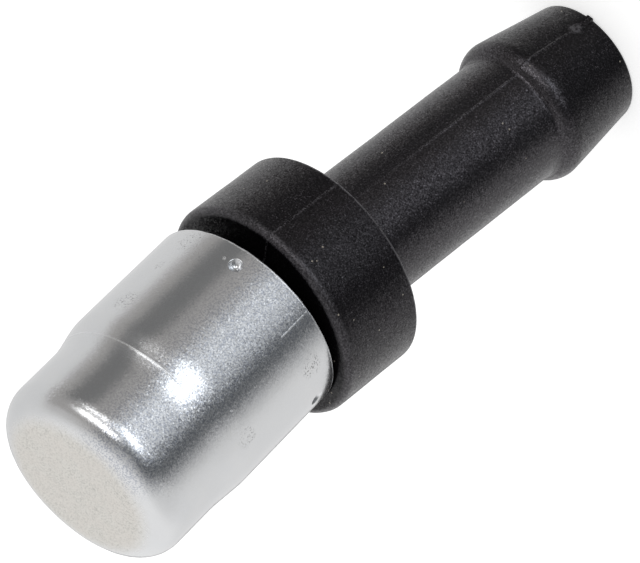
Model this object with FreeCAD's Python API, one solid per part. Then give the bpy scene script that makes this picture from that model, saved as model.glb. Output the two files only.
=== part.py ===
import FreeCAD, Part
import math
import os

# Axle breather vent: a moulded hose barb with a loose drawn steel cap that rocks on a hidden ledge.
# Lengths are in millimetres and angles in degrees. The origin is the centre of the barb's end face,
# +Z runs up the stem to the cap, and the cap leans towards -X as it rests.

# Barb and stem
bore_radius = 2.4
bore_mouth_chamfer = 0.3
barb_tip_radius = 3.88
barb_tip_rounding = 0.2
barb_crest_radius = 4.73
barb_crest_height = 6.03
barb_crest_rounding = 1.1
barb_back_length = 0.42
stem_radius = 4.0
stem_root_radius = 4.03
stem_length = 15.29
stem_fillet = 0.35

# Stub of the mould's gate, a low pad on the parting line at the barb's tip
gate_angle = -57.5
gate_width = 0.45
gate_reach = 0.25
gate_start = 0.1
gate_length = 1.8

# Collar, which stands out past the cap's rim all round
collar_length = 5.75
collar_overhang = 0.57
collar_draft = 0.04
collar_rear_rounding = 0.18
collar_front_rounding = 0.49

# Cap: a drawn cup whose wall tapers in to a slightly smaller closed end
cap_radius = 6.31
cap_length = 14.77
cap_wall = 0.45
cap_step_height = 7.75
cap_step_length = 2.0
cap_step_depth = 0.27
cap_step_rounding = 5.0
cap_end_rounding = 1.81
cap_rim_rounding = 0.08

# Dimples punched into the cap, which hook under the ledge
dimple_count = 4
dimple_phase = -58.2
dimple_height = 1.2
dimple_base_radius = 0.8
dimple_tip_radius = 0.35
dimple_mouth_radius = 0.42
dimple_floor_radius = 0.12
dimple_floor_wall = 0.5

# Ledge, groove and tower of the moulding, inside the cap
ledge_thickness = 1.0
ledge_rounding = 0.25
groove_fillet = 0.3
tower_radius = 3.6
tower_fillet = 0.4
seat_outer_radius = 3.2
seat_inner_radius = 2.4
seat_depth = 0.4
seat_rounding = 0.12
orifice_radius = 1.2
orifice_start = 2.0
orifice_cone_length = 1.2

# Soft disc in the closed end of the cap
disc_thickness = 1.2
disc_chamfer = 0.3

# How far the loose cap leans each way, and the clearances that let it
lean_angle = 6.85
rim_clearance = 0.04
ledge_clearance = 0.26
hook_overlap = 0.39
hook_clearance = 0.3
groove_clearance = 0.51
seat_clearance = 0.05
disc_clearance = 0.05

lean_sin = math.sin(math.radians(lean_angle))
lean_cos = math.cos(math.radians(lean_angle))

# Radii that follow from the cap: the ledge fits in it, the dimples reach in past the ledge, and the
# collar covers its rim
cap_inner_radius = cap_radius - cap_wall
cap_neck_radius = cap_radius - cap_step_depth
ledge_radius = cap_inner_radius - ledge_clearance
hook_radius = ledge_radius - hook_overlap
groove_radius = hook_radius - groove_clearance
collar_front_radius = cap_radius + collar_overhang
collar_rear_radius = collar_front_radius - collar_draft

# The disc's chamfer starts just inside the rounded edge of the cap's closed end
disc_radius = cap_neck_radius - cap_end_rounding + disc_chamfer - disc_clearance

# Heights along the moulding. The cap rocks about the middle of the ledge: leaning, its dimples stay
# under the ledge on one side and its rim stays above the collar on the other.
barb_root_height = barb_crest_height + barb_back_length
collar_rear_height = barb_root_height + stem_length
collar_front_height = collar_rear_height + collar_length
hook_drop = hook_radius * lean_sin + ledge_thickness / 2 + hook_clearance
dimple_to_pivot = hook_drop / lean_cos + dimple_tip_radius
rim_to_pivot = dimple_height + dimple_to_pivot
pivot_height = collar_front_height + rim_clearance + cap_radius * lean_sin + rim_to_pivot * lean_cos
ledge_bottom_height = pivot_height - ledge_thickness / 2
ledge_top_height = pivot_height + ledge_thickness / 2

# The tower ends where the leaning disc just clears its seat
disc_to_pivot = cap_length - cap_wall - disc_thickness - rim_to_pivot
tower_top_height = pivot_height + (disc_to_pivot - seat_clearance - seat_outer_radius * lean_sin) / lean_cos


def corner_arc(before, corner, after, radius):
    """Give the start, middle and end of the arc that rounds one corner of an outline."""
    back = (before - corner).normalize()
    ahead = (after - corner).normalize()
    half_angle = back.getAngle(ahead) / 2
    bisector = (back + ahead).normalize()
    reach = radius / math.tan(half_angle)
    to_middle = radius / math.sin(half_angle) - radius
    return corner + back * reach, corner + bisector * to_middle, corner + ahead * reach


def outline_face(corners):
    """Make a face in the XZ plane from corners (radius, height, rounding); a rounding of 0 is sharp."""
    points = [FreeCAD.Vector(radius, 0, height) for radius, height, rounding in corners]
    runs = []
    for index, (radius, height, rounding) in enumerate(corners):
        if rounding > 0:
            before = points[index - 1]
            after = points[(index + 1) % len(points)]
            runs.append(corner_arc(before, points[index], after, rounding))
        else:
            runs.append((points[index],))
    edges = []
    for index, run in enumerate(runs):
        if len(run) == 3:
            edges.append(Part.Arc(*run).toShape())
        next_start = runs[(index + 1) % len(runs)][0]
        edges.append(Part.LineSegment(run[-1], next_start).toShape())
    return Part.Face(Part.Wire(edges))


def turned(corners):
    """Revolve an outline about the Z axis."""
    return outline_face(corners).revolve(FreeCAD.Vector(0, 0, 0), FreeCAD.Vector(0, 0, 1), 360)


def gate_stub():
    """The pad left by the gate: level with the stem's axis, so it fades out where the barb widens."""
    inner = (bore_radius + barb_tip_radius) / 2
    outer = barb_tip_radius + gate_reach
    corner = FreeCAD.Vector(inner, -gate_width / 2, gate_start)
    stub = Part.makeBox(outer - inner, gate_width, gate_length, corner)
    stub.rotate(FreeCAD.Vector(0, 0, 0), FreeCAD.Vector(0, 0, 1), gate_angle)
    return stub


def vent_body():
    """One moulding: barb, stem, collar, groove, ledge and tower, with the air bore through it."""
    orifice_height = collar_front_height + orifice_start
    moulding = turned([
        (bore_radius + bore_mouth_chamfer, 0, 0),
        (barb_tip_radius, 0, barb_tip_rounding),
        (barb_crest_radius, barb_crest_height, barb_crest_rounding),
        (stem_radius, barb_root_height, 0),
        (stem_root_radius, collar_rear_height, stem_fillet),
        (collar_rear_radius, collar_rear_height, collar_rear_rounding),
        (collar_front_radius, collar_front_height, collar_front_rounding),
        (groove_radius, collar_front_height, groove_fillet),
        (groove_radius, ledge_bottom_height, groove_fillet),
        (ledge_radius, ledge_bottom_height, ledge_rounding),
        (ledge_radius, ledge_top_height, ledge_rounding),
        (tower_radius, ledge_top_height, tower_fillet),
        (tower_radius, tower_top_height - seat_depth, seat_rounding),
        (seat_outer_radius, tower_top_height, seat_rounding),
        (seat_inner_radius, tower_top_height, seat_rounding),
        (seat_inner_radius, tower_top_height - seat_depth, seat_rounding),
        (orifice_radius, tower_top_height - seat_depth, 0),
        (orifice_radius, orifice_height, 0),
        (bore_radius, orifice_height - orifice_cone_length, 0),
        (bore_radius, bore_mouth_chamfer, 0),
    ])
    return moulding.fuse(gate_stub())


def inset_corner(before, corner, after, wall):
    """Move a corner of an outline into the material by the wall, square to both of its runs."""
    normals = []
    for start, end in ((before, corner), (corner, after)):
        run = (end - start).normalize()
        normals.append(FreeCAD.Vector(-run.z, 0, run.x))
    return corner + (normals[0] + normals[1]) * (wall / (1 + normals[0].dot(normals[1])))


def cup():
    """The drawn cup before its dimples are punched, standing on its rim with the wall one thickness."""
    outer = [
        (cap_radius, 0, cap_rim_rounding),
        (cap_radius, cap_step_height, cap_step_rounding),
        (cap_neck_radius, cap_step_height + cap_step_length, cap_step_rounding),
        (cap_neck_radius, cap_length, cap_end_rounding),
        (0, cap_length, 0),
    ]
    inner_roundings = (
        cap_step_rounding - cap_wall,
        cap_step_rounding + cap_wall,
        cap_end_rounding - cap_wall,
    )
    points = [FreeCAD.Vector(radius, 0, height) for radius, height, rounding in outer]
    inner = [(0, cap_length - cap_wall, 0)]
    for index in (3, 2, 1):
        corner = inset_corner(points[index - 1], points[index], points[index + 1], cap_wall)
        inner.append((corner.x, corner.z, inner_roundings[index - 1]))
    inner.append((cap_inner_radius, 0, cap_rim_rounding))
    return turned(outer + inner)


def radial_cone(angle, start_radius, end_radius, base, tip):
    """A cone at the dimples' height that points at the cap's axis, from one radius in to another."""
    outward = FreeCAD.Vector(math.cos(math.radians(angle)), math.sin(math.radians(angle)), 0)
    start = outward * start_radius + FreeCAD.Vector(0, 0, dimple_height)
    return Part.makeCone(base, tip, start_radius - end_radius, start, outward * -1)


def vent_cap():
    """The cup with its dimples: a dent in the outside and a bump inside at each."""
    cap = cup()
    bump_start = cap_inner_radius + cap_wall / 2
    bump_growth = (dimple_base_radius - dimple_tip_radius) / (cap_inner_radius - hook_radius)
    bump_base = dimple_base_radius + bump_growth * cap_wall / 2
    for index in range(dimple_count):
        angle = dimple_phase + index * 360 / dimple_count
        cap = cap.fuse(radial_cone(angle, bump_start, hook_radius, bump_base, dimple_tip_radius))
        dent_floor = hook_radius + dimple_floor_wall
        cap = cap.cut(radial_cone(angle, cap_radius, dent_floor, dimple_mouth_radius, dimple_floor_radius))
    return cap.removeSplitter()


def seal_disc():
    """The soft disc that lies flat against the inside of the cap's closed end."""
    bottom = cap_length - cap_wall - disc_thickness
    disc = Part.makeCylinder(disc_radius, disc_thickness, FreeCAD.Vector(0, 0, bottom))
    top_edges = [edge for edge in disc.Edges if edge.CenterOfMass.z > bottom + disc_thickness * 0.9]
    return disc.makeChamfer(disc_chamfer, top_edges)


def on_pivot(shape):
    """Put a piece of the cap, modelled standing on its rim, over the ledge and lean it towards -X."""
    placed = shape.copy()
    placed.translate(FreeCAD.Vector(0, 0, pivot_height - rim_to_pivot))
    placed.rotate(FreeCAD.Vector(0, 0, pivot_height), FreeCAD.Vector(0, 1, 0), -lean_angle)
    return placed


pieces = {
    "vent_body": vent_body(),
    "vent_cap": on_pivot(vent_cap()),
    "seal_disc": on_pivot(seal_disc()),
}

os.makedirs("parts", exist_ok=True)
for name, shape in pieces.items():
    shape.exportStep("parts/" + name + ".step")
    print(name, "valid", shape.isValid(), "solids", len(shape.Solids), "volume", round(shape.Volume, 2))
print("pivot height", round(pivot_height, 4), "rim to pivot", round(rim_to_pivot, 4))
print("bore length", round(collar_front_height + orifice_start - orifice_cone_length - bore_mouth_chamfer, 4))
print("tower top", round(tower_top_height, 4), "ledge radius", round(ledge_radius, 4))
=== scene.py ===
import math

import bmesh
import bpy
from mathutils import Matrix, Vector, noise


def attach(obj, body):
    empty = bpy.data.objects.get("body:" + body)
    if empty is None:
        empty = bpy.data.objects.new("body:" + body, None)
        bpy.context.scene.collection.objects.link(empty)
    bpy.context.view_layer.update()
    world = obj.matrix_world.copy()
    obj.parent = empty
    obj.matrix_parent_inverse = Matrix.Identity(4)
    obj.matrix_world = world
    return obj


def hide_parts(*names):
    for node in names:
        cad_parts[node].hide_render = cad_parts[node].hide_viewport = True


# Axle breather vent: a black moulded hose barb with a loose, satin plated steel cap that leans on it.
# The frame is in metres, with the origin at the centre of the barb's end and +Z up the stem to the cap.
# Lengths below are in millimetres and angles in degrees.
MM = 0.001

# Barb, stem and bore of the moulding
bore_radius = 2.4
bore_mouth_chamfer = 0.3
barb_tip_radius = 3.88
barb_tip_rounding = 0.2
barb_crest_radius = 4.73
barb_crest_height = 6.03
barb_crest_rounding = 1.1
barb_back_length = 0.42
barb_root_fillet = 0.35
stem_radius = 4.0
stem_root_radius = 4.03
stem_length = 15.29
stem_fillet = 0.35

# Gate stub of the mould, and the pale scar on it
gate_angle = -57.5
gate_width = 0.45
gate_reach = 0.25
gate_start = 0.1
gate_edge = 0.06
gate_scar_height = 1.45
gate_scar_reach = 0.5

# Parting line of the mould, which fades along the stem and is clearer again on the collar
parting_height = 0.03
parting_half_width = 0.07
parting_fade_start = 12.0
parting_fade_length = 5.0
parting_faded_share = 0.4
parting_collar_share = 0.75
parting_collar_blend = 0.2

# Collar
collar_length = 5.75
collar_overhang = 0.57
collar_draft = 0.04
collar_rear_rounding = 0.18
collar_front_rounding = 0.49

# Cap
cap_radius = 6.31
cap_length = 14.77
cap_wall = 0.45
cap_step_height = 7.75
cap_step_length = 2.0
cap_step_depth = 0.27
cap_step_rounding = 5.0
cap_end_rounding = 1.81
cap_rim_rounding = 0.08

# Dimples of the cap: each dent's angle and height above the rim, and one height for the bumps inside
dimples = [
    (-58.2, 1.2),
    (31.8, 1.2),
    (121.8, 1.2),
    (-153.2, 1.5),
]
dimple_bump_height = 1.2
dimple_bump_radius = 0.8
dimple_tip_radius = 0.35
dimple_mouth_radius = 0.42
dimple_bowl_depth = 0.36

# Ledge, groove and tower of the moulding, inside the cap
ledge_thickness = 1.0
ledge_rounding = 0.25
groove_fillet = 0.3
tower_radius = 3.6
tower_fillet = 0.4
seat_outer_radius = 3.2
seat_inner_radius = 2.4
seat_depth = 0.4
seat_rounding = 0.12
orifice_radius = 1.2
orifice_start = 2.0
orifice_cone_length = 1.2
disc_thickness = 1.2

# Lean of the cap and its clearances
lean_angle = 6.85
rim_clearance = 0.04
ledge_clearance = 0.26
hook_overlap = 0.39
hook_clearance = 0.3
groove_clearance = 0.51
seat_clearance = 0.05

# Radii and heights that follow from these
lean_sin = math.sin(math.radians(lean_angle))
lean_cos = math.cos(math.radians(lean_angle))
cap_inner_radius = cap_radius - cap_wall
cap_neck_radius = cap_radius - cap_step_depth
cap_step_end = cap_step_height + cap_step_length
ledge_radius = cap_inner_radius - ledge_clearance
hook_radius = ledge_radius - hook_overlap
groove_radius = hook_radius - groove_clearance
collar_front_radius = cap_radius + collar_overhang
collar_rear_radius = collar_front_radius - collar_draft
barb_root_height = barb_crest_height + barb_back_length
collar_rear_height = barb_root_height + stem_length
collar_front_height = collar_rear_height + collar_length
hook_drop = hook_radius * lean_sin + ledge_thickness / 2 + hook_clearance
rim_to_pivot = dimple_bump_height + hook_drop / lean_cos + dimple_tip_radius
pivot_height = collar_front_height + rim_clearance + cap_radius * lean_sin + rim_to_pivot * lean_cos
disc_to_pivot = cap_length - cap_wall - disc_thickness - rim_to_pivot
tower_top_height = pivot_height + (disc_to_pivot - seat_clearance - seat_outer_radius * lean_sin) / lean_cos

# Fineness of the turned meshes
arc_step = math.radians(7)
row_length = 0.4
hidden_row_length = 1.6
fine_row_length = 0.045
dimple_row_length = 0.03
column_count = 288
fine_column_step = 0.28
fine_parting_reach = 2.0
fine_dimple_share = 1.4
body_crease = math.radians(32)
cap_crease = math.radians(80)

# How the drawn cap departs from a true cup: it widens a little away from its rim, its two diameters
# aren't quite in line (offsets along its X), and the drawing die left a fine ring around its taper,
# which fades out between two angles
cap_widening = 0.03
cap_offset_rim = -0.03
cap_offset_below_step = 0.04
cap_offset_above_step = -0.05
cap_offset_end = -0.01
die_ring_rise = 1.18
die_ring_height = 0.009
die_ring_half_width = 0.07
die_ring_fade_start = -75
die_ring_fade_end = -110

# Unevenness of the real surfaces. What stays true is the bore with a narrow edge of the end face around
# it, all that lies past the collar's front face, and the cap's end face
moulding_wobble = 0.012
moulding_wobble_size = 1.6
cap_wobble = 0.002
cap_wobble_size = 2.2
rim_unevenness = 0.05
rim_unevenness_height = 0.3
rim_unevenness_size = 0.7
true_edge_width = 0.2
true_face_depth = 0.01

# The photograph's camera, as the point it looks at, its distance, direction and roll, and its lens
camera_aim = Vector((-0.68, 0.0, 23.07))
camera_distance = 282.7
camera_azimuth = 6.31
camera_elevation = 29.29
camera_roll = 127.88
camera_lens = 281.25
camera_sensor = 36.0
camera_nearest = 0.01


def smooth(low, high, value):
    """0 below low, 1 above high, and a smooth step between."""
    share = min(1.0, max(0.0, (value - low) / (high - low)))
    return share * share * (3 - 2 * share)


def angle_between(first, second):
    """The turn from one angle to another, from -180 to 180."""
    return (first - second + 180) % 360 - 180


def direction(azimuth, elevation):
    """The unit vector towards an azimuth and elevation."""
    flat = math.cos(math.radians(elevation))
    x = flat * math.cos(math.radians(azimuth))
    y = flat * math.sin(math.radians(azimuth))
    return Vector((x, y, math.sin(math.radians(elevation))))


def corner_arc(before, corner, after, radius):
    """Points along the arc that rounds one corner of an outline, from tangent point to tangent point."""
    back = (before - corner).normalized()
    ahead = (after - corner).normalized()
    half_angle = back.angle(ahead) / 2
    centre = corner + (back + ahead).normalized() * (radius / math.sin(half_angle))
    start = corner + back * (radius / math.tan(half_angle)) - centre
    end = corner + ahead * (radius / math.tan(half_angle)) - centre
    turn = math.pi - 2 * half_angle
    steps = max(2, math.ceil(turn / arc_step))
    points = []
    for index in range(steps + 1):
        share = index / steps
        weights = math.sin((1 - share) * turn), math.sin(share * turn)
        points.append(centre + (start * weights[0] + end * weights[1]) / math.sin(turn))
    return points


def rounded(corners):
    """Turn corners (radius, height, rounding) into points, with each rounding as short steps."""
    points = [Vector((radius, height)) for radius, height, rounding in corners]
    line = []
    for index, (radius, height, rounding) in enumerate(corners):
        if rounding > 0:
            after = points[(index + 1) % len(points)]
            line += corner_arc(points[index - 1], points[index], after, rounding)
        else:
            line.append(points[index])
    return line


def divided(line, spacing, closed):
    """Add points to a line, about as far apart as spacing(point) says at each place along it."""
    result = []
    stretches = list(zip(line, line[1:] + line[:1] if closed else line[1:]))
    for start, end in stretches:
        length = (end - start).length
        travelled = 0.0
        result.append(start)
        while length - travelled > 1e-6:
            ahead = start.lerp(end, min(1.0, (travelled + fine_row_length) / length))
            step = spacing(ahead)
            if length - travelled < 1.5 * step:
                break
            travelled += step
            result.append(start.lerp(end, travelled / length))
    if not closed:
        result.append(line[-1])
    return result


def columns(fine_places):
    """Angles of the columns: even ones, and finer ones within reach of each (angle, reach)."""
    even_step = 360 / column_count
    angles = []
    for index in range(column_count):
        angle = index * even_step
        if all(abs(angle_between(angle, place)) > reach for place, reach in fine_places):
            angles.append(angle)
    for place, reach in fine_places:
        count = math.ceil(reach / fine_column_step)
        for index in range(-count, count + 1):
            angles.append((place + index * reach / count) % 360)
    return sorted(angles)


def turned(name, line, angles, shape, offset, crease, closed):
    """Turn a line of (radius, height) points about Z.

    shape(angle, radius, height) gives each point's own radius and height, and offset(height) moves
    each ring along X. Edges sharper than the crease angle stay sharp.
    """
    mesh = bpy.data.meshes.new(name)
    build = bmesh.new()
    rows = []
    for radius, height in line:
        row = []
        for angle in angles if radius > 0 else angles[:1]:
            moved_radius, moved_height = shape(angle, radius, height) if radius > 0 else (0.0, height)
            x = moved_radius * math.cos(math.radians(angle)) + offset(height)
            y = moved_radius * math.sin(math.radians(angle))
            row.append(build.verts.new(Vector((x, y, moved_height)) * MM))
        rows.append(row)
    count = len(angles)
    for lower, upper in zip(rows, rows[1:] + rows[:1] if closed else rows[1:]):
        for index in range(count):
            after = (index + 1) % count
            corners = [lower[index % len(lower)], lower[after % len(lower)]]
            corners += [upper[after % len(upper)], upper[index % len(upper)]]
            build.faces.new(list(dict.fromkeys(corners)))
    bmesh.ops.recalc_face_normals(build, faces=build.faces)
    build.to_mesh(mesh)
    build.free()
    mesh.shade_smooth()
    mesh.set_sharp_from_angle(angle=crease)
    piece = bpy.data.objects.new(name, mesh)
    bpy.context.scene.collection.objects.link(piece)
    even = piece.modifiers.new("even_shading", "WEIGHTED_NORMAL")
    even.keep_sharp = True
    return piece


def surface_noise(angle, radius, height, size):
    """Gentle unevenness from -1 to 1, with features of about the given size."""
    x = radius * math.cos(math.radians(angle))
    y = radius * math.sin(math.radians(angle))
    return noise.noise(Vector((x, y, height)) / size)


def body_shape(angle, radius, height):
    """Give the moulding its parting line, its gate stub and a moulded surface's slight unevenness."""
    past_edge = radius > bore_radius + bore_mouth_chamfer + true_edge_width
    if not past_edge or height >= collar_front_height - true_face_depth:
        return radius, height
    raised = radius + moulding_wobble * surface_noise(angle, radius, height, moulding_wobble_size)
    for parting_angle in (gate_angle, gate_angle + 180):
        across = radius * math.radians(angle_between(angle, parting_angle))
        if height > 0:
            faded = smooth(parting_fade_start, parting_fade_start + parting_fade_length, height)
            on_collar = smooth(collar_rear_height - parting_collar_blend, collar_rear_height, height)
            share = max(1 - (1 - parting_faded_share) * faded, parting_collar_share * on_collar)
            raised += share * parting_height * math.exp(-((across / parting_half_width) ** 2))
    across = abs(radius * math.radians(angle_between(angle, gate_angle)))
    pad = smooth(gate_width / 2 + gate_edge / 2, gate_width / 2 - gate_edge / 2, across)
    pad *= smooth(gate_start - gate_edge / 2, gate_start + gate_edge / 2, height)
    top = barb_tip_radius + gate_reach
    if pad > 0 and height < barb_crest_height and radius > barb_tip_radius - barb_tip_rounding:
        raised += pad * max(0.0, top - raised)
    return raised, height


def cap_offset(height):
    """How far the cap's section at a height lies along X from the cap's axis."""
    above_rim = min(1.0, height / cap_step_height)
    below = cap_offset_rim + (cap_offset_below_step - cap_offset_rim) * above_rim
    share = max(0.0, height - cap_step_end) / (cap_length - cap_step_end)
    above = cap_offset_above_step + (cap_offset_end - cap_offset_above_step) * share
    return below + (above - below) * smooth(cap_step_height, cap_step_end, height)


def cap_shape(angle, radius, height):
    """Punch the dimples into the cap, make its cut rim uneven and its drawn wall slightly untrue."""
    on_outside = radius > cap_inner_radius + cap_wall / 2
    moved_radius = radius
    moved_height = height
    if height < cap_length - true_face_depth and radius > cap_neck_radius - cap_wall / 2:
        moved_radius += cap_wobble * surface_noise(angle, radius, height, cap_wobble_size)
        from_ring = height - cap_step_height - die_ring_rise
        ring = die_ring_height * math.exp(-((from_ring / die_ring_half_width) ** 2))
        if angle > 180:
            ring *= smooth(die_ring_fade_end, die_ring_fade_start, angle_between(angle, 0))
        moved_radius += ring
    widened = cap_widening * (2 * min(1.0, height / cap_step_height) - 1)
    widened *= 1 - smooth(cap_step_height, cap_step_end, height)
    moved_radius += widened
    for dimple_angle, dent_height in dimples:
        across = radius * math.radians(angle_between(angle, dimple_angle))
        away = math.hypot(across, height - (dent_height if on_outside else dimple_bump_height))
        if on_outside:
            moved_radius -= dimple_bowl_depth * max(0.0, 1 - (away / dimple_mouth_radius) ** 2)
        elif radius > hook_radius:
            depth = cap_inner_radius - hook_radius
            moved_radius -= depth * (1 - smooth(dimple_tip_radius, dimple_bump_radius, away))
    if height < rim_unevenness_height:
        lift = 0.5 + 0.5 * surface_noise(angle, cap_radius, 0, rim_unevenness_size)
        moved_height += rim_unevenness * lift * (1 - height / rim_unevenness_height)
    return moved_radius, moved_height


def make_body():
    """The moulding: barb, stem, collar, groove, ledge and tower, with the air bore through it."""
    mouth_radius = bore_radius + bore_mouth_chamfer
    orifice_height = collar_front_height + orifice_start
    ledge_bottom = pivot_height - ledge_thickness / 2
    ledge_top = pivot_height + ledge_thickness / 2
    outline = rounded([
        (mouth_radius, 0, 0),
        (barb_tip_radius, 0, barb_tip_rounding),
        (barb_crest_radius, barb_crest_height, barb_crest_rounding),
        (stem_radius, barb_root_height, barb_root_fillet),
        (stem_root_radius, collar_rear_height, stem_fillet),
        (collar_rear_radius, collar_rear_height, collar_rear_rounding),
        (collar_front_radius, collar_front_height, collar_front_rounding),
        (groove_radius, collar_front_height, groove_fillet),
        (groove_radius, ledge_bottom, groove_fillet),
        (ledge_radius, ledge_bottom, ledge_rounding),
        (ledge_radius, ledge_top, ledge_rounding),
        (tower_radius, ledge_top, tower_fillet),
        (tower_radius, tower_top_height - seat_depth, seat_rounding),
        (seat_outer_radius, tower_top_height, seat_rounding),
        (seat_inner_radius, tower_top_height, seat_rounding),
        (seat_inner_radius, tower_top_height - seat_depth, seat_rounding),
        (orifice_radius, tower_top_height - seat_depth, 0),
        (orifice_radius, orifice_height, 0),
        (bore_radius, orifice_height - orifice_cone_length, 0),
        (bore_radius, bore_mouth_chamfer, 0),
    ])

    def spacing(point):
        if point.x > mouth_radius and point.y < gate_start + gate_edge:
            return fine_row_length
        if point.y > collar_front_height or point.x < mouth_radius:
            return hidden_row_length
        return row_length

    line = divided(outline, spacing, closed=True)
    gate_half_angle = math.degrees((gate_width / 2 + gate_edge) / barb_tip_radius)
    angles = columns([(gate_angle, gate_half_angle), (gate_angle + 180, fine_parting_reach)])
    return turned("breather_body", line, angles, body_shape, lambda height: 0.0, body_crease, closed=True)


def inset_corner(before, corner, after, wall):
    """Move a corner of an outline into the material by the wall, square to both of its runs."""
    normals = []
    for start, end in ((before, corner), (corner, after)):
        run = (end - start).normalized()
        normals.append(Vector((-run.y, run.x)))
    return corner + (normals[0] + normals[1]) * (wall / (1 + normals[0].dot(normals[1])))


def make_cap():
    """The drawn cup, modelled standing on its rim and then set leaning on the ledge."""
    outer = [
        (cap_radius, 0, cap_rim_rounding),
        (cap_radius, cap_step_height, cap_step_rounding),
        (cap_neck_radius, cap_step_end, cap_step_rounding),
        (cap_neck_radius, cap_length, cap_end_rounding),
        (0, cap_length, 0),
    ]
    inner_roundings = (
        cap_step_rounding - cap_wall,
        cap_step_rounding + cap_wall,
        cap_end_rounding - cap_wall,
    )
    points = [Vector((radius, height)) for radius, height, rounding in outer]
    inner = [(0, cap_length - cap_wall, 0)]
    for index in (3, 2, 1):
        corner = inset_corner(points[index - 1], points[index], points[index + 1], cap_wall)
        inner.append((corner.x, corner.y, inner_roundings[index - 1]))
    inner.append((cap_inner_radius, 0, cap_rim_rounding))
    outline = rounded(outer + inner)
    top = outline.index(Vector((0, cap_length)))
    outline = outline[top + 1:] + outline[:top + 1]

    def spacing(point):
        if point.x > cap_neck_radius - cap_wall / 2:
            if any(abs(point.y - dent_height) < dimple_bump_radius for place, dent_height in dimples):
                return dimple_row_length
            if abs(point.y - cap_step_height - die_ring_rise) < 3 * die_ring_half_width:
                return fine_row_length
        return row_length

    line = divided(outline, spacing, closed=False)
    reach = math.degrees(fine_dimple_share * dimple_mouth_radius / cap_radius)
    angles = columns([(place, reach) for place, dent_height in dimples])
    cap = turned("breather_cap", line, angles, cap_shape, cap_offset, cap_crease, closed=False)
    to_pivot = Matrix.Translation(Vector((0, 0, pivot_height * MM)))
    lean = Matrix.Rotation(math.radians(-lean_angle), 4, "Y")
    stand = Matrix.Translation(Vector((0, 0, -rim_to_pivot * MM)))
    cap.data.transform(to_pivot @ lean @ stand)
    return cap


def on_cap(angle, height):
    """A point of the cap's outside, in its own coordinates."""
    x = cap_radius * math.cos(math.radians(angle))
    y = cap_radius * math.sin(math.radians(angle))
    return (x, y, height)


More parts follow.
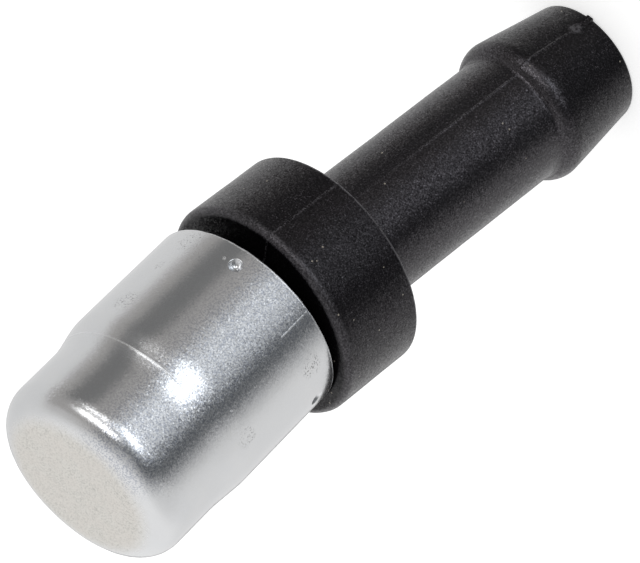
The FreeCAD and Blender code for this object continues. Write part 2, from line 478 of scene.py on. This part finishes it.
class Shader:
    """Short calls that add nodes to one node tree and give back their output sockets."""

    def __init__(self, tree):
        self.tree = tree
        tree.nodes.clear()

    def node(self, kind, inputs=(), **settings):
        """Add a node, set its fields, and set or link its inputs, given as (name or index, value)."""
        made = self.tree.nodes.new("ShaderNode" + kind)
        for field, value in settings.items():
            setattr(made, field, value)
        for key, value in inputs:
            if isinstance(value, bpy.types.NodeSocket):
                self.tree.links.new(value, made.inputs[key])
            else:
                made.inputs[key].default_value = value
        return made

    def math(self, operation, *values):
        return self.node("Math", enumerate(values), operation=operation).outputs[0]

    def vector(self, operation, *values):
        made = self.node("VectorMath", enumerate(values), operation=operation)
        scalar = operation in ("DOT_PRODUCT", "LENGTH", "DISTANCE")
        return made.outputs["Value" if scalar else "Vector"]

    def times(self, first, *others):
        """The product of all the values."""
        for value in others:
            first = self.math("MULTIPLY", first, value)
        return first

    def most(self, first, *others):
        """The largest of all the values."""
        for value in others:
            first = self.math("MAXIMUM", first, value)
        return first

    def line(self, start, slope, value):
        """The start and the slope times the value."""
        return self.math("MULTIPLY_ADD", value, slope, start)

    def step(self, value, low, high, bottom=0.0, top=1.0):
        """A smooth step of a value, from bottom at low to top at high."""
        inputs = [("Value", value), ("From Min", low), ("From Max", high)]
        inputs += [("To Min", bottom), ("To Max", top)]
        return self.node("MapRange", inputs, interpolation_type="SMOOTHSTEP").outputs["Result"]

    def band(self, value, middle, outer, inner):
        """1 where a value is within inner of a middle, and 0 where it is outer or more from it."""
        away = self.math("ABSOLUTE", self.math("SUBTRACT", value, middle))
        return self.step(away, outer, inner)

    def spot(self, coords, place, outer, inner):
        """1 within inner of a place, and 0 where it is outer or more away."""
        return self.step(self.vector("DISTANCE", coords, place), outer, inner)

    def marks(self, coords, places):
        """1 in the middle of each mark (angle, height, reach) on the cap, and 0 past its reach."""
        return self.most(*[
            self.spot(coords, on_cap(angle, height), reach, 0.4 * reach)
            for angle, height, reach in places
        ])

    def noise(self, coords, size, detail=2.0, roughness=0.5):
        """Noise from 0 to 1 over coordinates in millimetres, with features of a size in millimetres."""
        inputs = [("Vector", coords), ("Scale", 1 / size), ("Detail", detail), ("Roughness", roughness)]
        return self.node("TexNoise", inputs).outputs[0]

    def dots(self, coords, spacing):
        """Distance in millimetres to the nearest of scattered points about a spacing apart."""
        inputs = [("Vector", coords), ("Scale", 1 / spacing)]
        return self.times(self.node("TexVoronoi", inputs).outputs["Distance"], spacing)

    def mix(self, factor, first, second):
        inputs = [("Factor", factor), (6, first), (7, second)]
        return self.node("Mix", inputs, data_type="RGBA").outputs[2]

    def millimetres(self):
        """The piece's own coordinates, in millimetres."""
        coords = self.node("TexCoord").outputs["Object"]
        return self.vector("MULTIPLY", coords, (1 / MM, 1 / MM, 1 / MM))

    def cap_millimetres(self):
        """Coordinates in millimetres about the cap's own leaning axis, up from its rim."""
        pivot = (0, 0, pivot_height)
        turn = [("Vector", self.millimetres()), ("Center", pivot), ("Angle", math.radians(lean_angle))]
        upright = self.node("VectorRotate", turn, rotation_type="Y_AXIS").outputs[0]
        return self.vector("SUBTRACT", upright, (0, 0, pivot_height - rim_to_pivot))

    def split(self, coords):
        """The three coordinates, one by one."""
        return self.node("SeparateXYZ", [(0, coords)]).outputs

    def from_axis(self, coords):
        """The distance from the Z axis."""
        return self.vector("LENGTH", self.vector("MULTIPLY", coords, (1.0, 1.0, 0.0)))

    def grains(self, coords, size, tip, normal):
        """The normals of a surface of small grains, each tipped its own way and some more than others."""
        inputs = [("Vector", coords), ("Scale", 1 / size)]
        own = self.vector("SUBTRACT", self.node("TexVoronoi", inputs).outputs["Color"], (0.5, 0.5, 0.5))
        reach = self.times(self.vector("LENGTH", own), tip)
        return self.vector("NORMALIZE", self.vector("MULTIPLY_ADD", own, reach, normal))

    def bump(self, height):
        """A bump from a height in millimetres."""
        inputs = [("Height", height), ("Distance", MM), ("Strength", 1.0)]
        return self.node("Bump", inputs).outputs["Normal"]

    def surface(self, closure, kind="Material"):
        self.node("Output" + kind, [("Surface", closure)])


def new_material(name):
    material = bpy.data.materials.new(name)
    material.use_nodes = True
    return material, Shader(material.node_tree)


# Grain of the moulding: sizes in millimetres, and how strongly its facets tip
nylon_grain_size = 0.2
nylon_grain_height = 0.006
nylon_fleck_size = 0.09
nylon_patch_size = 1.8
nylon_facet_size = 0.07
nylon_facet_tip = 0.42

# Pale lines of the moulding: the worn parting line, and painted highlights along the collar's rear edge
# and its front rounding, as heights and how far each reaches from them
parting_wear_reach = 0.1
rear_highlight_middle = collar_rear_height + 0.07
rear_highlight_reach = 0.14
front_highlight_middle = collar_front_height - 0.22
front_highlight_reach = 0.4

# Dust on the moulding
speck_spacing = 1.1
speck_radius = 0.07

# Colours of the moulding, and the tint of its gloss
nylon_dark = (0.0016, 0.0013, 0.0018, 1)
nylon_pale = (0.044, 0.041, 0.046, 1)
# Painted shade for the gap under the cap, past the collar's front face
nylon_painted_gap_shade = (0.0014, 0.0012, 0.0015, 1)
# Wear colour, also used for the painted highlights on the collar's edges
nylon_wear_and_highlight = (0.085, 0.082, 0.088, 1)
nylon_gloss_tint = (0.98, 0.93, 1.0, 1)
dust_tone = (0.42, 0.38, 0.32, 1)


def moulded_nylon():
    """Black glass-filled nylon: grainy, a paler parting line, dust specks, painted edge highlights and gap
    shade.
    """
    material, shader = new_material("moulded_nylon")
    coords = shader.millimetres()
    z = shader.split(coords)[2]
    radius = shader.from_axis(coords)
    grain = shader.noise(coords, nylon_grain_size, detail=3.0, roughness=0.6)
    fleck = shader.noise(coords, nylon_fleck_size, detail=1.0)
    patches = shader.noise(coords, nylon_patch_size, detail=3.0)

    # Where the surface is worn, and the painted highlights on the collar's edges
    sideways = direction(gate_angle + 90, 0)
    across = shader.math("ABSOLUTE", shader.vector("DOT_PRODUCT", coords, sideways))
    faded = shader.step(z, parting_fade_start, parting_fade_start + parting_fade_length, 1.0, 0.45)
    on_collar = shader.step(z, collar_rear_height - parting_collar_blend, collar_rear_height)
    parting = shader.times(
        shader.step(across, parting_wear_reach, 0.2 * parting_wear_reach),
        shader.step(fleck, 0.40, 0.62),
        shader.step(radius, bore_radius + 0.5, bore_radius + 1.0),
        shader.most(faded, on_collar),
    )
    # Painted highlight along the collar's rear edge
    rear_edge_highlight = shader.times(
        shader.band(z, rear_highlight_middle, rear_highlight_reach, 0.04),
        shader.step(radius, collar_rear_radius - 0.3, collar_rear_radius - 0.1),
        shader.step(grain, 0.30, 0.5),
    )
    # Painted highlight along the collar's front rounding
    front_edge_highlight = shader.times(
        shader.band(z, front_highlight_middle, front_highlight_reach, 0.1),
        shader.step(radius, collar_front_radius - 0.32, collar_front_radius - 0.12),
        shader.step(fleck, 0.3, 0.7, 0.15, 0.6),
    )
    scar_place = direction(gate_angle, 0) * (barb_tip_radius + gate_reach) + Vector((0, 0, gate_scar_height))
    scar = shader.times(
        shader.spot(coords, scar_place, gate_scar_reach, 0.5 * gate_scar_reach),
        shader.step(grain, 0.3, 0.6),
    )
    # The worn parting line and gate scar, with the painted edge highlights
    wear_and_edge_highlight = shader.most(shader.times(parting, 0.5), shader.times(rear_edge_highlight, 1.5), front_edge_highlight, scar)

    # Colour
    scuffed = shader.step(patches, 0.42, 0.62, 0.35, 1.0)
    pale = shader.times(shader.step(fleck, 0.56, 0.74), scuffed)
    # Painted shade: the moulding is darker past the collar's front face, where it lies in the gap under the
    # cap
    in_gap = shader.step(z, collar_front_height - 0.05, collar_front_height + 0.02)
    specks = shader.step(shader.dots(coords, speck_spacing), speck_radius, 0.04)
    colour = shader.mix(pale, nylon_dark, nylon_pale)
    colour = shader.mix(in_gap, colour, nylon_painted_gap_shade)
    colour = shader.mix(wear_and_edge_highlight, colour, nylon_wear_and_highlight)
    colour = shader.mix(shader.times(specks, 0.8), colour, dust_tone)

    # Gloss: more on the stem, which the hose keeps clean, and on the barb's crest, less inside the gap
    stem = shader.times(
        shader.step(radius, stem_root_radius + 0.4, stem_root_radius + 0.1),
        shader.step(z, barb_root_height - 0.3, barb_root_height + 0.3),
    )
    crest = shader.times(
        shader.band(z, barb_crest_height + 0.1, 0.7, 0.3),
        shader.step(radius, bore_radius, bore_radius + 1.0),
        1.1,
    )
    polish = shader.times(
        shader.line(0.72, 0.45, shader.most(stem, crest)),
        shader.line(1.0, -0.85, in_gap),
        shader.step(fleck, 0.3, 0.7, 0.34, 0.80),
    )
    normal = shader.grains(
        coords,
        nylon_facet_size,
        nylon_facet_tip,
        shader.bump(shader.times(grain, nylon_grain_height)),
    )
    inputs = [
        ("Base Color", colour),
        ("Roughness", shader.line(0.20, 0.12, patches)),
        ("IOR", 1.5),
        ("Normal", normal),
        ("Specular IOR Level", polish),
        ("Specular Tint", nylon_gloss_tint),
        ("Sheen Weight", shader.line(0.06, -0.06, in_gap)),
        ("Sheen Roughness", 0.35),
    ]
    shader.surface(shader.node("BsdfPrincipled", inputs).outputs[0])
    return material


# Marks on the cap, as (angle, height above the rim, reach), and the top of one long scratch
pit_patches = [
    (-25.2, 0.9, 1.0),
    (-22.0, 3.2, 0.4),
    (-24.5, 6.3, 1.0),
    (-126.0, 1.6, 0.9),
    (-129.0, 7.4, 0.8),
]
nicks = [
    (-52.2, 11.4, 0.12),
    (-71.2, 7.1, 0.12),
    (-79.6, 6.7, 0.10),
    (-78.7, 9.6, 0.10),
    (-109.3, 7.6, 0.10),
    (-51.0, 1.2, 0.16),
]
scratch_angle = -101.0
scratch_half_width = 0.06
scratch_top = 2.5

# The strip along the cap whose grains differ most, as its middle angle and its reach
sparkle_angle = -86.0
sparkle_reach = 34.0

# The plating's grains and mottle: sizes in millimetres, and how strongly the grains tip
grain_size = 0.07
grain_tip = 0.21
plating_fine_size = 0.1
plating_mottle_size = 0.22
plating_cloud_size = 1.5

# Colours of the plating, of its matte end face and of its marks
steel_grey = (0.69, 0.70, 0.715, 1)
steel_even = (0.745, 0.745, 0.745, 1)
steel_pale = (0.77, 0.78, 0.80, 1)
# Dark bluish grains, painted as reflections in the strip that faces the camera and the low soft box
steel_painted_dark_reflection = (0.49, 0.51, 0.56, 1)
end_dark = (0.47, 0.46, 0.43, 1)
end_pale = (0.74, 0.725, 0.69, 1)
end_mottled = (0.76, 0.735, 0.69, 1)
end_warm = (0.74, 0.70, 0.66, 1)
pit_tone = (0.20, 0.19, 0.17, 1)
# Bright bare metal, also the colour of the painted highlight along the die ring
bright_tone = (0.94, 0.95, 0.96, 1)


def plated_steel():
    """Satin zinc plating on drawn steel: bright grains, matte end face, pits, nicks, scuffed rim, painted
    highlight and reflections.
    """
    material, shader = new_material("plated_steel")
    coords = shader.cap_millimetres()
    x, y, z = shader.split(coords)
    radius = shader.from_axis(coords)
    angle = shader.math("ARCTAN2", y, x)
    fine = shader.noise(coords, plating_fine_size, detail=2.0, roughness=0.6)
    mottle = shader.noise(coords, plating_mottle_size, detail=3.0, roughness=0.6)
    cloud = shader.noise(coords, plating_cloud_size, detail=3.0)

    # The end face, whose border is ragged
    end_face = shader.times(
        shader.step(z, cap_length - 0.35, cap_length - 0.03),
        shader.step(shader.line(radius, 0.7, mottle), cap_neck_radius - 0.3, cap_neck_radius - 1.7),
    )

    # Pits, the bright bare metal of nicks, scratch and cut rim, and a painted highlight along the die ring
    pits = shader.times(shader.marks(coords, pit_patches), shader.step(fine, 0.60, 0.66))
    bare_nicks = shader.times(shader.marks(coords, nicks), shader.step(fine, 0.38, 0.52))
    half_width = scratch_half_width / cap_radius
    scratch = shader.times(
        shader.band(angle, math.radians(scratch_angle), half_width, 0.25 * half_width),
        shader.step(z, scratch_top + 0.05, scratch_top - 0.15),
        shader.step(mottle, 0.30, 0.55, 0.2, 1.0),
    )
    rim_line = shader.step(shader.line(z, -0.16, mottle), 0.09, 0.02)
    # Painted highlight along the die ring, on the cap's side towards +X
    ring = shader.times(
        shader.band(z, cap_step_height + die_ring_rise, die_ring_half_width, 0.01),
        shader.step(cloud, 0.25, 0.5, 0.16, 0.55),
        shader.step(x, 0.3, 2.0),
    )
    bright = shader.most(bare_nicks, scratch, rim_line, ring)

    # Colour
    from_strip = math.radians(sparkle_reach)
    sparkling = shader.band(angle, math.radians(sparkle_angle), from_strip, 0.4 * from_strip)
    tone = shader.mix(cloud, steel_grey, steel_even)
    tone = shader.mix(shader.step(fine, 0.3, 0.7, 0.0, 0.4), tone, steel_pale)
    # Painted reflection: darker bluish grains only in the strip that faces the camera and the low soft box
    tone = shader.mix(shader.times(sparkling, shader.step(fine, 0.55, 0.40)), tone, steel_painted_dark_reflection)
    end_tone = shader.mix(shader.step(fine, 0.28, 0.60), end_dark, end_pale)
    end_tone = shader.mix(shader.step(mottle, 0.3, 0.7, 0.0, 0.5), end_tone, end_mottled)
    end_tone = shader.mix(shader.step(cloud, 0.38, 0.62, 0.0, 0.3), end_tone, end_warm)
    tone = shader.mix(end_face, tone, end_tone)
    tone = shader.mix(shader.times(pits, 0.8), tone, pit_tone)
    tone = shader.mix(shader.times(bright, 0.8), tone, bright_tone)

    # Gloss, and the grains: strong in the strip, weaker beside it, least in the dimples and at the end
    gloss = shader.line(0.17, 0.08, fine)
    gloss = shader.line(gloss, 0.26, end_face)
    gloss = shader.line(gloss, 0.28, bright)
    height = shader.times(mottle, 0.002)
    height = shader.line(height, -0.02, pits)
    height = shader.line(height, 0.006, bright)
    dents = shader.most(*[
        shader.spot(coords, on_cap(place, dent_height), 2 * dimple_mouth_radius, dimple_mouth_radius)
        for place, dent_height in dimples
    ])
    shoulder = shader.step(z, cap_length - 2.3, cap_length - 1.7, 0.0, 0.6)
    tip = shader.times(
        shader.line(1.0, -0.9, dents),
        shader.line(0.35 * grain_tip, 0.65 * grain_tip, shader.most(sparkling, shoulder)),
        shader.step(z, cap_length - 1.3, cap_length - 0.5, 1.0, 0.2),
    )
    normal = shader.grains(coords, grain_size, tip, shader.bump(height))
    inputs = [("Base Color", tone), ("Metallic", 1.0), ("Roughness", gloss), ("Normal", normal)]
    shader.surface(shader.node("BsdfPrincipled", inputs).outputs[0])
    return material


# The rubber's mottle, as its size in millimetres and its two colours
rubber_mottle_size = 0.3
rubber_dark = (0.018, 0.018, 0.018, 1)
rubber_pale = (0.035, 0.034, 0.033, 1)


def black_rubber():
    """The soft seal: matte black with a fine mottle."""
    material, shader = new_material("black_rubber")
    mottle = shader.noise(shader.millimetres(), rubber_mottle_size, detail=3.0)
    tone = shader.mix(mottle, rubber_dark, rubber_pale)
    gloss = shader.line(0.6, 0.2, mottle)
    inputs = [("Base Color", tone), ("Roughness", gloss), ("Normal", shader.bump(mottle))]
    shader.surface(shader.node("BsdfPrincipled", inputs).outputs[0])
    return material


# What stands around the part and shows in its gloss: soft boxes, and the darker flags and paler walls
# beside them, as (name, azimuth, elevation, half width, half height, softness, level, warmth). Angles
# are in degrees, azimuth from +X towards +Y, and later ones lie over earlier ones.
surround_level = 0.77
surroundings = [
    ("front_wall", -30, 10, 45, 68, 0.15, 0.39, 0.03),
    ("left_flag", -107, -17, 32, 86, 0.45, 0.12, -0.05),
    ("right_flag", -16, -29, 14.5, 40, 0.4, 0.19, 0.0),
    ("left_card", -86, -10, 21, 25, 0.6, 1.0, -0.03),
    ("high_soft_box", -50, 30, 22, 5.8, 0.45, 3.7, 0.0),
    ("middle_soft_box", -44, 7.3, 16.5, 5.2, 0.4, 2.1, 0.0),
    ("low_soft_box", -84, -6.5, 13, 8, 0.6, 3.0, -0.05),
    ("rear_wall", 136, 36, 42, 58, 0.35, 0.97, 0.0),
    ("back_flag", 100, -30, 9, 18, 0.3, 0.1, 0.0),
]
shape_power = 4.0


def light_colour(level, warmth):
    """The colour of a light of a level, more red and less blue as the warmth rises."""
    return (level * (1 + warmth), level, level * (1 - warmth), 1)


def make_surroundings():
    """Light the part from the soft boxes and the pale room, with plain white behind it for the camera."""
    world = bpy.data.worlds.new("surroundings")
    world.use_nodes = True
    bpy.context.scene.world = world
    shader = Shader(world.node_tree)
    towards = shader.node("TexCoord").outputs["Generated"]
    colour = light_colour(surround_level, 0.0)
    for name, azimuth, elevation, half_width, half_height, softness, level, warmth in surroundings:
        centre = direction(azimuth, elevation)
        sideways = direction(azimuth + 90, 0)
        upwards = centre.cross(sideways)
        reach = 0.0
        for axis, half in ((sideways, half_width), (upwards, half_height)):
            scaled = axis / math.sin(math.radians(half))
            away = shader.math("ABSOLUTE", shader.vector("DOT_PRODUCT", towards, scaled))
            reach = shader.math("ADD", reach, shader.math("POWER", away, shape_power))
        reach = shader.math("POWER", reach, 1 / shape_power)
        inside = shader.step(reach, 1 + softness, 1 - softness)
        ahead = shader.math("GREATER_THAN", shader.vector("DOT_PRODUCT", towards, centre), 0.0)
        colour = shader.mix(shader.times(inside, ahead), colour, light_colour(level, warmth))
    seen = shader.node("LightPath").outputs["Is Camera Ray"]
    colour = shader.mix(seen, colour, (1, 1, 1, 1))
    light = shader.node("Background", [("Color", colour), ("Strength", 1.0)])
    shader.surface(light.outputs[0], "World")


# The floor, in metres, with the glow that the camera sees on it
floor_radius = 4.0
floor_sides = 96
floor_tone = (0.8, 0.8, 0.8, 1)
floor_glow = 0.56


def make_floor():
    """A wide white floor under the barb's end, which keeps the part's soft shadow."""
    mesh = bpy.data.meshes.new("floor")
    build = bmesh.new()
    bmesh.ops.create_circle(build, cap_ends=True, segments=floor_sides, radius=floor_radius)
    build.to_mesh(mesh)
    build.free()
    floor = bpy.data.objects.new("floor", mesh)
    bpy.context.scene.collection.objects.link(floor)
    material, shader = new_material("white_floor")
    matte = shader.node("BsdfDiffuse", [("Color", floor_tone)]).outputs[0]
    seen = shader.node("LightPath").outputs["Is Camera Ray"]
    strength = shader.times(seen, floor_glow)
    glow = shader.node("Emission", [("Color", (1, 1, 1, 1)), ("Strength", strength)]).outputs[0]
    shader.surface(shader.node("AddShader", [(0, matte), (1, glow)]).outputs[0])
    mesh.materials.append(material)
    floor.visible_glossy = False


def make_camera():
    """A long lens that sees the part as the photograph does, with the part's axis across the picture."""
    back = direction(camera_azimuth - 90, camera_elevation)
    level = direction(camera_azimuth, 0)
    upright = back.cross(level)
    roll = math.radians(camera_roll)
    right = level * math.cos(roll) - upright * math.sin(roll)
    up = upright * math.cos(roll) + level * math.sin(roll)
    place = (camera_aim + back * camera_distance) * MM
    camera = bpy.data.objects.new("camera", bpy.data.cameras.new("camera"))
    camera.data.sensor_fit = "HORIZONTAL"
    camera.data.sensor_width = camera_sensor
    camera.data.lens = camera_lens
    camera.data.clip_start = camera_nearest
    camera.matrix_world = Matrix.Translation(place) @ Matrix((right, up, back)).transposed().to_4x4()
    bpy.context.scene.collection.objects.link(camera)
    bpy.context.scene.camera = camera


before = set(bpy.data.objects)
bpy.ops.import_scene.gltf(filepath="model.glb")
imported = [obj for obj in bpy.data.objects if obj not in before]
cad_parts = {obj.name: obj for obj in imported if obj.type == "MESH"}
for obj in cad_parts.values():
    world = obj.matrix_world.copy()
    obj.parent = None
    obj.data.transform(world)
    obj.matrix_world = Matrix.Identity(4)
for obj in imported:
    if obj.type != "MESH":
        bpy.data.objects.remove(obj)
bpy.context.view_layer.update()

make_camera()
make_surroundings()
make_floor()

body = make_body()
body.data.materials.append(moulded_nylon())
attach(body, "body")
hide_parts("vent_body")

cap = make_cap()
cap.data.materials.append(plated_steel())
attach(cap, "cap")
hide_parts("vent_cap")

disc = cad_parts["seal_disc"]
disc.data.materials.clear()
disc.data.materials.append(black_rubber())

bpy.context.scene.view_settings.view_transform = "Standard"
